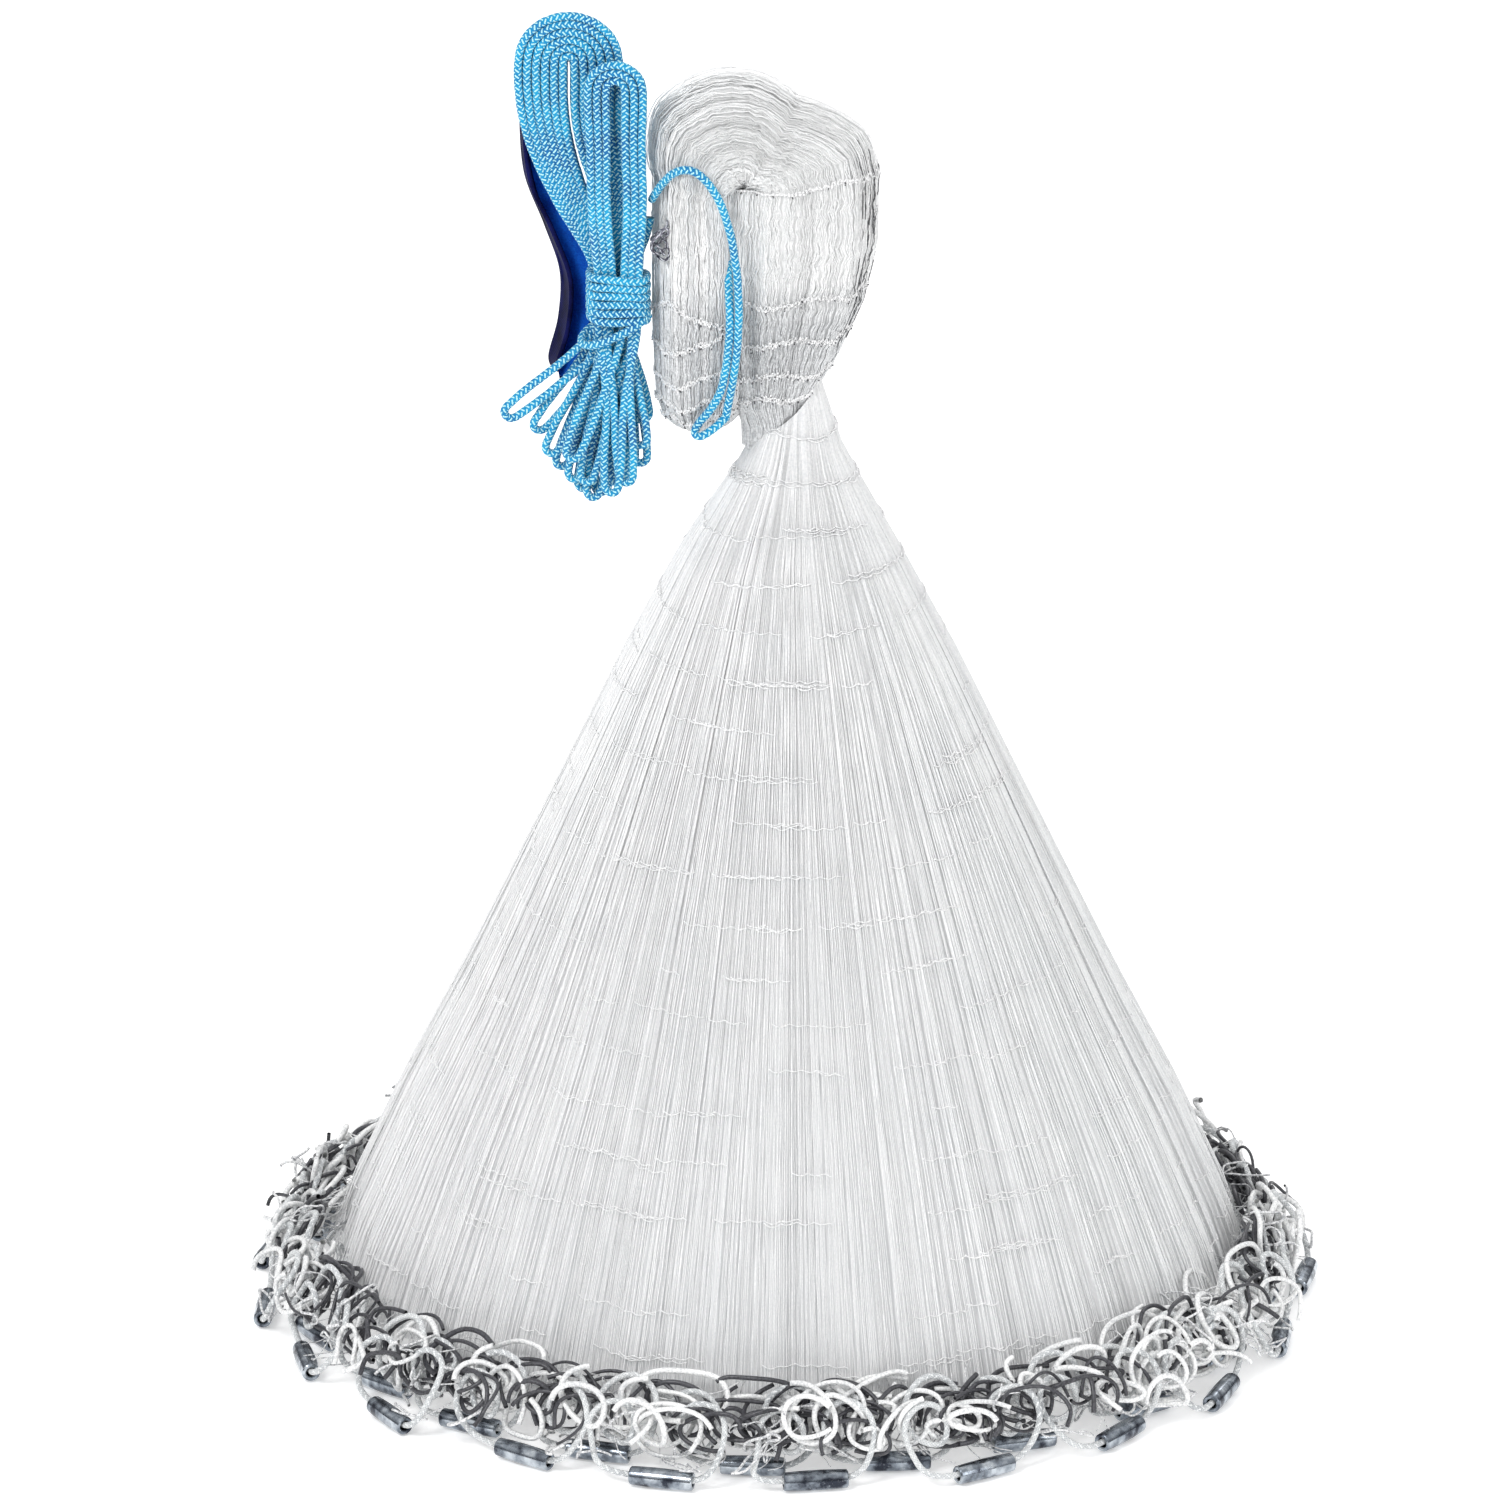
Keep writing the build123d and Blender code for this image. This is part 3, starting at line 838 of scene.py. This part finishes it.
FALL_HALF_WIDTH = [0.0197, 0.0208, 0.0210, 0.0198, 0.0165, 0.0112, 0.0020]
FALL_HALF_DEPTH = [0.0300, 0.0290, 0.0285, 0.0260, 0.0210, 0.0130, 0.0025]
FALL_MIDDLE = -0.0380


def head_section(stage):
    """Centre, outward direction and half sizes of the bundle; stage runs 0 to 3 along it."""
    rise, bend, fall = (np.clip(stage - start, 0, 1) for start in (0, 1, 2))
    height = RISE_HEIGHTS[0] + (RISE_HEIGHTS[-1] - RISE_HEIGHTS[0]) * rise
    turn = bend * pi
    reach = np.interp(np.degrees(turn), BEND_ANGLES, BEND_REACH)
    inner = np.interp(np.degrees(turn), BEND_ANGLES, BEND_INNER)
    drop = FALL_DROP[-1] * fall
    middle = np.where(
        stage <= 1, np.interp(height, RISE_HEIGHTS, RISE_MIDDLE),
        np.where(stage <= 2, BEND_PIVOT[0] + np.cos(turn) * (reach + inner) / 2, FALL_MIDDLE),
    )
    level = np.where(
        stage <= 1, height,
        np.where(stage <= 2, BEND_PIVOT[1] + np.sin(turn) * (reach + inner) / 2, BEND_PIVOT[1] - drop),
    )
    half_width = np.where(
        stage <= 1, np.interp(height, RISE_HEIGHTS, RISE_HALF_WIDTH),
        np.where(stage <= 2, (reach - inner) / 2, np.interp(drop, FALL_DROP, FALL_HALF_WIDTH)),
    )
    half_depth = np.where(
        stage <= 1, np.interp(height, RISE_HEIGHTS, RISE_HALF_DEPTH),
        np.where(stage <= 2, 0.031 - 0.005 * np.sin(turn), np.interp(drop, FALL_DROP, FALL_HALF_DEPTH)),
    )
    return middle, level, turn, half_width, half_depth


def head_point(stage, around, lift=0.0):
    """Points on the folded bundle; around is 0 on its outer side, -pi/2 at the front."""
    middle, level, turn, half_width, half_depth = head_section(stage)
    fold = 0.0011 * np.sin(7 * around + 1.3 * stage) + 0.0007 * np.sin(17 * around + 2.2 * stage)
    reach = (half_width + lift + fold * half_width / 0.025) * np.cos(around)
    deep = (half_depth + lift + fold * half_depth / 0.025) * np.sin(around)
    return np.stack([middle + reach * np.cos(turn), deep, level + reach * np.sin(turn)], -1)


def head_outward(stage, around):
    turn = head_section(stage)[2]
    return np.stack([np.cos(around) * np.cos(turn), np.sin(around), np.cos(around) * np.sin(turn)], -1)


def head_fluff(stage):
    """How loosely the strands stand at the top of the fold."""
    return np.exp(-(((stage - 1.55) / 0.42) ** 2))


def make_head_veil():
    rows, columns = 150, 200
    stage = np.linspace(0, 3, rows)[:, None] * np.ones((1, columns))
    around = np.linspace(0, 2 * pi, columns, endpoint=False)[None] * np.ones((rows, 1))
    sunk = 0.0008 + 0.0050 * head_fluff(stage) * np.maximum(0, np.cos(around)) ** 0.5
    points = head_point(stage, around, -sunk).reshape(-1, 3)
    row, column = np.meshgrid(np.arange(rows - 1), np.arange(columns), indexing="ij")
    u = np.stack([column, column + 1, column + 1, column], -1) / columns
    v = np.stack([row, row, row + 1, row + 1], -1) / (rows - 1)
    uv = np.stack([u, v], -1).reshape(-1, 2)
    veil = mesh_object(
        "head_netting", points, grid_faces(rows, columns, True), "net", HEAD_VEIL, uv
    )
    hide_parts("net_neck", "head_rising_fold", "head_hanging_fold", "head_crown")


def make_head_strands():
    """Crimped monofilament that runs up from the neck, over the fold and down again."""
    strands, samples = 620, 107
    start = np.linspace(0, 2 * pi, strands, endpoint=False) + rng.normal(0, 0.01, strands)
    stage = np.linspace(0.0, 2.975, samples)[None] * np.ones((strands, 1))
    phase = rng.random(strands)[:, None] * 1.6 + 3 * start[:, None]
    crimp = np.sin(stage * 95 + phase) * 0.016 + np.sin(stage * 57 + 2 * phase) * 0.012
    wander = np.cumsum(rng.normal(0, 0.006, (strands, samples)), axis=1)
    around = start[:, None] + wander + crimp
    loose = rng.random(strands)[:, None]
    outer = np.maximum(0, np.cos(around)) ** 0.5
    lift = 0.0004 + 0.0005 * loose + head_fluff(stage) * outer * (0.0085 * loose**1.5 - 0.0045)
    lines = head_point(stage, around, lift)
    width = (0.00017 + 0.00010 * rng.random(strands))[:, None] * np.ones((1, samples))
    outward = head_outward(stage, around)
    # Two pieces, so that neither is thinned out when it is exported.
    for number, half in enumerate([slice(0, strands // 2), slice(strands // 2, strands)], 1):
        points, faces = strand_mesh(lines[half], width[half], 3, outward[half])
        mesh_object(f"head_strands_{number}", points, faces, "net", HEAD_STRAND)
    # Painted shade: dark strands along the bundle's outer edge, darkening that edge.
    edges = 46
    around = rng.normal(-0.15, 0.22, edges)[:, None]
    around = around + np.cumsum(rng.normal(0, 0.006, (edges, 30)), axis=1)
    begin = rng.uniform(0.35, 0.95, edges)[:, None]
    stage = begin + rng.uniform(0.05, 0.25, edges)[:, None] * np.linspace(0, 1, 30)[None]
    lines, outward = head_point(stage, around, 0.0012), head_outward(stage, around)
    points, faces = strand_mesh(lines, 0.00020, 3, outward)
    mesh_object("head_edge_shade_strands", points, faces, "net", TWINE_SHADE)


def make_head_rows():
    """Rows of knots across the folds: white zigzags, level on the rising fold, aslant on the other."""
    parts, places = [], []
    rising = [(1.01, 0.01), (0.575, 0.02), (0.42, 0.015), (0.29, 0.01), (0.20, 0.01)]
    falling = [(2.50, 0.14), (2.66, 0.11), (2.78, 0.08), (2.88, 0.04), (2.58, -0.12)]
    for index, (level, slant) in enumerate(rising + falling):
        for strand in range(3):
            samples = 420
            around = np.linspace(0, 2 * pi, samples)
            wave = np.sin((54 + 7 * strand) * around + 1.7 * strand)
            zigzag = 0.0055 * np.sign(wave) * np.abs(wave) ** 0.6
            sag = slant * np.cos(around + 0.8) + 0.012 * np.sin(5 * around + index)
            stage = level + zigzag + sag + 0.004 * (strand - 1) + rng.normal(0, 0.004, samples)
            stage = np.clip(stage, 0.0, 2.96)
            line = head_point(stage, around, 0.0010 + 0.0006 * rng.random(samples))[None]
            parts.append(strand_mesh(line, 0.00026, 3, head_outward(stage, around)[None]))
            places.append(line[0, ::3])
    places = np.concatenate(places)
    parts.append(knot_mesh(places, rng.uniform(0.0004, 0.0007, len(places))))
    points, faces = joined(*parts)
    mesh_object("head_knots", points, faces, "net", KNOT_WHITE)
    # Painted shadows: dark specks set just below and in front of every fifth knot.
    knot_shadows = places[::5] + (0, -0.0002, -0.0011)
    points, faces = knot_mesh(knot_shadows, rng.uniform(0.0003, 0.0005, len(knot_shadows)))
    mesh_object("head_knot_shade", points, faces, "net", TWINE_SHADE)


# --- small knots ----------------------------------------------------------------


def knot_line(centre, size, turns, seed):
    """A tight overhand-like tangle of line round a centre."""
    local = np.random.default_rng(seed)
    angle = np.linspace(0, 2 * pi * turns, 14 * turns)
    spin = local.random(3) * 2 * pi
    x = np.sin(angle + spin[0])
    y = 0.8 * np.sin(1.37 * angle + spin[1])
    z = np.cos(1.11 * angle + spin[2])
    return np.asarray(centre) + size * np.stack([x, y, z], -1)


def make_tie_knot():
    """The tie's end: doubled back under the fold and up beside the tie, into the netting."""
    route = [
        (-0.0268, -0.0312, 0.4480), (-0.0300, -0.0330, 0.4450), (-0.0345, -0.0335, 0.4415),
        (-0.0390, -0.0325, 0.4385), (-0.0415, -0.0310, 0.4400), (-0.0400, -0.0300, 0.4440),
        (-0.0350, -0.0312, 0.4500), (-0.0300, -0.0325, 0.4580), (-0.0270, -0.0335, 0.4690),
        (-0.0246, -0.0345, 0.4900), (-0.0250, -0.0320, 0.5080), (-0.0262, -0.0200, 0.5220),
    ]
    line = smooth_route("tie_knot", route)
    knot, _ = hand_cord("head_tie_tail", line, "net", step=0.0007)
    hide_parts("head_tie_knot")
    return knot


def make_crown_lashing():
    line = knot_line((-0.0570, -0.0200, 0.5300), size=0.0042, turns=4, seed=3)
    line[:, 2] += np.linspace(0.006, -0.006, len(line))
    path, _ = resample(line, 0.0006)
    piece, _ = braided_tube(
        "crown_lashing_turns", path, diameter=0.0014, pitch=0.0016, carriers=4, sides=8, step=0.0006,
        body="net", material=TWINE_DARK,
    )
    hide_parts("crown_lashing")


def make_strap_hitch():
    line = knot_line((-0.0845, -0.0015, 0.4995), size=0.0030, turns=2, seed=5)
    piece, _ = braided_tube(
        "strap_hitch_turns", line, diameter=0.0032, pitch=HAND_PICK, carriers=9, sides=10, step=0.0007,
        body="hank", material=HAND_BRAID,
    )
    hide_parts("strap_hitch")
    return piece


# --- wrist strap ----------------------------------------------------------------

STRAP_LOOP = [
    (-0.1205, 0.577, 0.10), (-0.1180, 0.552, 0.15), (-0.1085, 0.528, 0.22), (-0.1010, 0.505, 0.25),
    (-0.1020, 0.482, 0.22), (-0.1068, 0.463, 0.20), (-0.1030, 0.4600, 0.35), (-0.0965, 0.474, 0.60),
    (-0.0945, 0.495, 0.90), (-0.0980, 0.520, 1.10), (-0.1075, 0.547, 1.10), (-0.1150, 0.573, 0.55),
    (-0.1185, 0.5795, 0.20),
]
STRAP_WIDTH = 0.019
STRAP_THICKNESS = 0.0016
STRAP_MIDDLE_Y = 0.0070
# Faces of the strap's section, counted round it, that show the inner side's blue.
STRAP_INNER_FACES = (2, 3)


def make_strap():
    """Flat webbing loop, its back run turned so that the inner face shows."""
    keys = np.array(STRAP_LOOP)
    samples, count = 220, len(STRAP_LOOP)
    at = np.linspace(0, count, samples, endpoint=False)
    smooth = np.zeros((samples, 3))
    for k in range(-1, 3):
        index = (np.floor(at).astype(int) + k) % count
        part = at - np.floor(at)
        weights = {-1: -0.5 * part**3 + part**2 - 0.5 * part, 0: 1.5 * part**3 - 2.5 * part**2 + 1,
                   1: -1.5 * part**3 + 2 * part**2 + 0.5 * part, 2: 0.5 * part**3 - 0.5 * part**2}
        smooth += keys[index] * weights[k][:, None]
    ahead = np.roll(smooth, -1, axis=0) - np.roll(smooth, 1, axis=0)
    ahead = ahead[:, :2] / np.linalg.norm(ahead[:, :2], axis=1)[:, None]
    tangent = np.stack([ahead[:, 0], np.zeros(samples), ahead[:, 1]], -1)
    tilt = smooth[:, 2]
    across = np.cross(tangent, (0, 1, 0))
    wide = np.stack([np.zeros(samples), np.ones(samples), np.zeros(samples)], -1) * np.cos(tilt)[:, None]
    wide = wide + across * np.sin(tilt)[:, None] * np.where(across[:, :1] > 0, -1, 1)
    thin = np.cross(tangent, wide)
    half_w, half_t, bead = STRAP_WIDTH / 2, STRAP_THICKNESS / 2, 0.0003
    section = [
        (-half_w, 0), (-half_w + 0.0006, half_t + bead), (-half_w + 0.002, half_t), (0, half_t * 0.9),
        (half_w - 0.002, half_t), (half_w - 0.0006, half_t + bead),
    ]
    section += [(-w, -t) for w, t in section]
    centre = np.stack([smooth[:, 0], np.full(samples, STRAP_MIDDLE_Y), smooth[:, 1]], -1)
    rings = np.stack([centre + wide * w + thin * t for w, t in section], 1)
    points = np.concatenate([rings, rings[:1]]).reshape(-1, 3)
    faces = grid_faces(samples + 1, len(section), True)
    strap = mesh_object("wrist_strap_webbing", points, faces, "strap", STRAP_IN)
    strap.data.materials.append(STRAP_OUT)
    for polygon in strap.data.polygons:
        if polygon.index % len(section) not in STRAP_INNER_FACES:
            polygon.material_index = 1
    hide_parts("wrist_strap")


# --- hem ------------------------------------------------------------------------


def make_selvedge():
    """Heavier twine round the last meshes, crumpled."""
    angle = np.linspace(0, 2 * pi, 1000)
    radius = 0.2120 + 0.0030 * np.sin(31 * angle) + 0.0022 * np.sin(53 * angle + 1)
    height = 0.0190 + 0.0050 * np.sin(43 * angle + 2) + 0.0030 * np.sin(71 * angle)
    line = np.stack([radius * np.cos(angle), radius * np.sin(angle), height], -1)
    piece, _ = braided_tube(
        "hem_selvedge_twine", line, diameter=0.0020, pitch=0.0022, carriers=4, sides=8, step=0.0012,
        body="net", material=TWINE_BRAID,
    )
    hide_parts("hem_selvedge")


def kept_outside(lines, highest=0.046):
    """Lines moved so that they stay outside the skirt and above the ground and the sinkers."""
    angle = np.arctan2(lines[..., 1], lines[..., 0])
    radius = np.linalg.norm(lines[..., :2], axis=-1)
    lowest = np.where(radius > 0.2215, 0.0112, 0.0014)
    height = np.clip(lines[..., 2], lowest, highest)
    radius = np.clip(radius, skirt_radius(height) + 0.0015, 0.2540)
    kept = np.stack([radius * np.cos(angle), radius * np.sin(angle), height], -1)
    for _ in range(4):
        kept[:, 1:-1] = (kept[:, :-2] + 2 * kept[:, 1:-1] + kept[:, 2:]) / 4
    return kept


def upright_outward(lines):
    outward = lines * (1, 1, 0) + (0, 0, 0.05)
    return outward / np.linalg.norm(outward, axis=2)[..., None]


def make_hem_twine(path):
    """Crumpled twine between the last meshes and the lead line, and small ties round the line."""
    strands, samples = 460, 18
    picks = rng.integers(0, len(path), strands)
    ends = path[picks] + rng.normal(0, 0.0015, (strands, 3))
    angle = np.arctan2(ends[:, 1], ends[:, 0]) + rng.normal(0, 0.04, strands)
    starts = skirt_point(angle, rng.uniform(0.018, 0.040, strands), -0.001)
    share = np.linspace(0, 1, samples)[None, :, None]
    lines = starts[:, None] * (1 - share) + ends[:, None] * share
    swing = np.sin(pi * share) * rng.normal(0, 0.0050, (strands, 1, 3))
    crumple = np.cumsum(rng.normal(0, 0.0010, (strands, samples, 3)), axis=1) * np.sin(pi * share)
    lines = kept_outside(lines + swing + crumple)
    width = rng.uniform(0.00020, 0.00042, strands)[:, None] * np.ones((1, samples))
    points, faces = strand_mesh(lines, width, 4, upright_outward(lines))
    piece = mesh_object("hem_tie_twine", points, faces, "net", TWINE_WHITE)
    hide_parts("hem_ties")


TANGLE_FLATNESS = 0.72
# Loops copy only stretches of the lead line that stay above the sinkers.
LOOP_CLEAR_HEIGHT = 0.0125
SNARL_COUNT = 130
SNARL_REACH = 0.0100
# The waves that bend a snarl: turns along it, and size as a share of its reach.
SNARL_WAVES = [(0.8, 1.0), (1.5, 0.6), (4.6, 0.108), (8.5, 0.042)]


def make_loops(name, path, strands, length, thinnest, thickest, offset, inset, material):
    """Loose copies of stretches of the lead line's curls; length is in steps of its path."""
    window = np.arange(0, length, 2)
    lowest = path[(np.arange(len(path))[:, None] + window) % len(path), 2].min(axis=1)
    starts = rng.choice(np.flatnonzero(lowest > LOOP_CLEAR_HEIGHT), strands)
    lines = path[(starts[:, None] + window) % len(path)]
    turn = rng.uniform(-1, 1, (strands, 1)) * 2 * pi / SINKER_COUNT
    x, y = lines[..., 0], lines[..., 1]
    turned_x, turned_y = x * np.cos(turn) - y * np.sin(turn), x * np.sin(turn) + y * np.cos(turn)
    lines = np.stack([turned_x, turned_y, lines[..., 2]], -1)
    middle = lines.mean(axis=1, keepdims=True)
    stretch = rng.uniform(0.8, 1.6, (strands, 1, 1)) * (1, 1, 0)
    stretch = stretch + rng.uniform(0.6, 1.0, (strands, 1, 1)) * (0, 0, 1)
    lines = middle + (lines - middle) * stretch
    lines = lines * (1 - inset / np.linalg.norm(lines[:, :1], axis=2, keepdims=True) * (1, 1, 0))
    shift = rng.normal(0, offset, (strands, 1, 3))
    along = np.linspace(0, 1, len(window))[None, :, None]
    phase = rng.random((strands, 1, 3)) * 2 * pi
    sway = 0.6 * offset * np.sin(2 * pi * 1.3 * along + phase)
    lines = kept_outside(lines + shift + sway)
    lines[..., 2] = np.maximum(lines[..., 2], thickest)
    width = rng.uniform(thinnest, thickest, strands)[:, None] * np.ones((1, len(window)))
    points, faces = strand_mesh(lines, width, 6, upright_outward(lines))
    mesh_object(name, points, faces, "net", material)


def make_snarls(path):
    """Loose loops and snarls of thin twine lying in the lead line's curls."""
    samples = 44
    centre = path[rng.integers(0, len(path), SNARL_COUNT)][:, None]
    along = np.linspace(0, 1, samples)[None, :, None]
    lines = centre + np.zeros((SNARL_COUNT, samples, 3))
    for pace, share in SNARL_WAVES:
        phase = rng.random((SNARL_COUNT, 1, 3)) * 2 * pi
        spread = rng.uniform(0.5, 1.0, (SNARL_COUNT, 1, 3)) * (1, 1, TANGLE_FLATNESS)
        lines = lines + SNARL_REACH * share * spread * np.sin(2 * pi * pace * along + phase)
    lines = kept_outside(lines)
    width = rng.uniform(0.0004, 0.0008, SNARL_COUNT)[:, None] * np.ones((1, samples))
    points, faces = strand_mesh(lines, width, 5, upright_outward(lines))
    mesh_object("hem_snarls", points, faces, "net", TWINE_WHITE)


def make_line_knot():
    """The join in the lead line: a hard white knot with two short ends."""
    points = slack_route(KNOT_INDEX)
    middle = (points[4] + points[5]) / 2
    line = smooth_route("line_knot", knot_line(tuple(middle), size=0.0042, turns=3, seed=11))
    piece, _ = braided_tube(
        "lead_line_join", line, LEAD_LINE, pitch=0.0018, carriers=6, sides=10, step=0.0008,
        body="net", material=LEAD_BRAID,
    )
    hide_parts("lead_line_knot")


make_camera()
make_studio()
lead_path = make_lead_line()
hitch = make_strap_hitch()
tie_knot = make_tie_knot()
make_hank()
make_wraps()
make_head_tie()
make_floor()
make_skirt_veil()
make_skirt_strands()
make_knot_rows()
make_head_veil()
make_head_strands()
make_head_rows()
make_crown_lashing()
make_strap()
make_selvedge()
make_hem_twine(lead_path)
make_loops(
    "hem_loops", lead_path, strands=130, length=90, thinnest=0.0011, thickest=0.0015,
    offset=0.0050, inset=0.0, material=LOOP_WHITE,
)
make_snarls(lead_path)
# hem_shade is painted shade: dark copies of the curls, set a little inward behind the white cords to
# darken the gaps between them.
make_loops(
    "hem_shade", lead_path, strands=330, length=56, thinnest=0.0007, thickest=0.0013,
    offset=0.0028, inset=0.0020, material=TWINE_SHADE,
)
make_line_knot()

for index in range(SINKER_COUNT):
    sinker = NODES[f"sinker_{index + 1:02d}"]
    sinker.data.materials.clear()
    sinker.data.materials.append(SINKER_ZINC)
